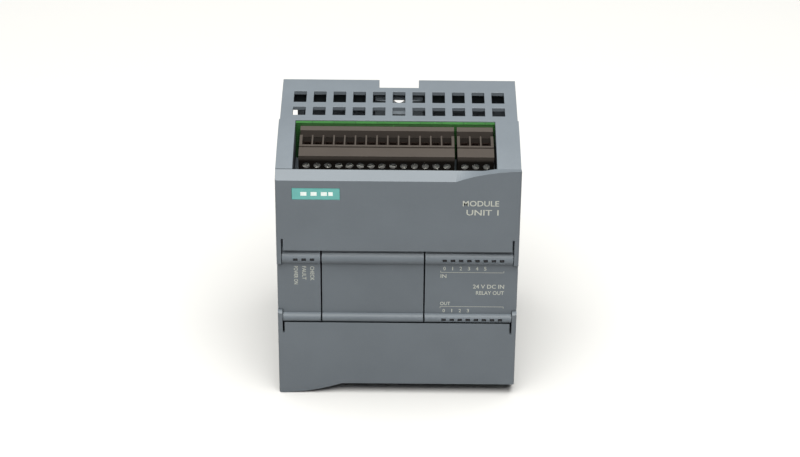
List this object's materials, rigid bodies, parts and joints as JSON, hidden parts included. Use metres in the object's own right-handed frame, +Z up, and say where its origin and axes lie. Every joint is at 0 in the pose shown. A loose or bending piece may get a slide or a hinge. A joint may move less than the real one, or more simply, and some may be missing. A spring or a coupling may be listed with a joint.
{
  "type": "programmable logic controller module",
  "caption": "Compact rail-mounted logic controller module: vented rear housing, hinged wiring doors, plug-in screw terminals, indicator panels and sliding rail clips.",
  "frame": {"origin": "centre of the footprint, on the plane of the underside", "axes": "+X to the right seen from the front, -Y out of the front face, +Z up; the mounting plane is the rear face at +Y"},
  "size_m": [0.09, 0.075, 0.1],
  "materials": {
    "rear_housing_plastic": "satin",
    "front_housing_plastic": "satin",
    "door_plastic": "satin",
    "cover_plastic": "satin",
    "nameplate_plastic": "gloss",
    "clip_plastic": "satin",
    "circuit_board": "gloss",
    "insulating_film": "gloss",
    "steel": "satin",
    "gold_plating": "gloss",
    "black_plastic": "satin",
    "light_pipe": "gloss",
    "lamp": "gloss",
    "ferrite": "matte",
    "winding_tape": "gloss",
    "capacitor_sleeve": "gloss",
    "copper": "gloss",
    "fuse_plastic": "gloss",
    "varistor_coat": "gloss",
    "aluminium": "satin",
    "white_plastic": "satin",
    "header_plastic": "satin",
    "terminal_plastic": "satin"
  },
  "bodies": {
    "case": {"rear_housing": "rear_housing_plastic", "front_housing": "front_housing_plastic", "centre_cover": "cover_plastic", "main_board": "circuit_board", "power_board": "circuit_board", "processor_board": "circuit_board", "insulating_sheet": "insulating_film", "board_screws": "steel", "terminal_pins": "gold_plating", "network_jack_shell": "steel", "network_jack_insert": "black_plastic", "network_jack_contacts": "gold_plating", "card_socket": "steel", "expansion_socket": "black_plastic", "left_bus_socket": "black_plastic", "right_bus_socket": "black_plastic", "status_light_pipes": "light_pipe", "upper_light_pipes": "light_pipe", "lower_light_pipes": "light_pipe", "indicator_lamps": "lamp", "board_link": "black_plastic", "power_link": "black_plastic", "transformer_core": "ferrite", "transformer_winding": "winding_tape", "bulk_capacitor": "capacitor_sleeve", "output_capacitors": "capacitor_sleeve", "line_choke_core": "ferrite", "line_choke_winding": "copper", "mains_fuse": "fuse_plastic", "varistor": "varistor_coat", "rectifier": "black_plastic", "switching_transistor": "black_plastic", "heat_sink": "aluminium", "optocouplers": "white_plastic", "output_drivers": "black_plastic", "processor_chip": "black_plastic", "memory_chips": "black_plastic", "network_transformer": "black_plastic", "backup_capacitor": "capacitor_sleeve", "crystal": "steel", "main_terminal_header": "header_plastic", "main_terminal_plug": "terminal_plastic", "main_terminal_clamps": "steel", "main_terminal_screws": "steel", "analog_terminal_header": "header_plastic", "analog_terminal_plug": "terminal_plastic", "analog_terminal_clamps": "steel", "analog_terminal_screws": "steel", "output_terminal_header": "header_plastic", "output_terminal_plug": "terminal_plastic", "output_terminal_clamps": "steel", "output_terminal_screws": "steel"},
    "upper_door": {"upper_door": "door_plastic", "nameplate": "nameplate_plastic"},
    "lower_door": {"lower_door": "door_plastic"},
    "upper_clip": {"upper_din_clip": "clip_plastic"},
    "lower_clip": {"lower_din_clip": "clip_plastic"},
    "left_cover": {"left_bus_cover": "cover_plastic"},
    "right_cover": {"right_bus_cover": "cover_plastic"}
  },
  "joints": [
    {"name": "upper_door_hinge", "type": "hinge", "parent": "case", "child": "upper_door", "pos_m": [0, -0.03505, 0.06085], "axis": [1, 0, 0], "range_deg": [0, 100]},
    {"name": "lower_door_hinge", "type": "hinge", "parent": "case", "child": "lower_door", "pos_m": [0, -0.0357, 0.0343], "axis": [-1, 0, 0], "range_deg": [0, 100]},
    {"name": "upper_clip_slide", "type": "slide", "parent": "case", "child": "upper_clip", "axis": [0, 0, 1], "range_m": [0, 0.02]},
    {"name": "lower_clip_slide", "type": "slide", "parent": "case", "child": "lower_clip", "axis": [0, 0, -1], "range_m": [0, 0.02]},
    {"name": "left_cover_slide", "type": "slide", "parent": "case", "child": "left_cover", "axis": [-1, 0, 0], "range_m": [0, 0.008]},
    {"name": "right_cover_slide", "type": "slide", "parent": "case", "child": "right_cover", "axis": [1, 0, 0], "range_m": [0, 0.008]}
  ]
}
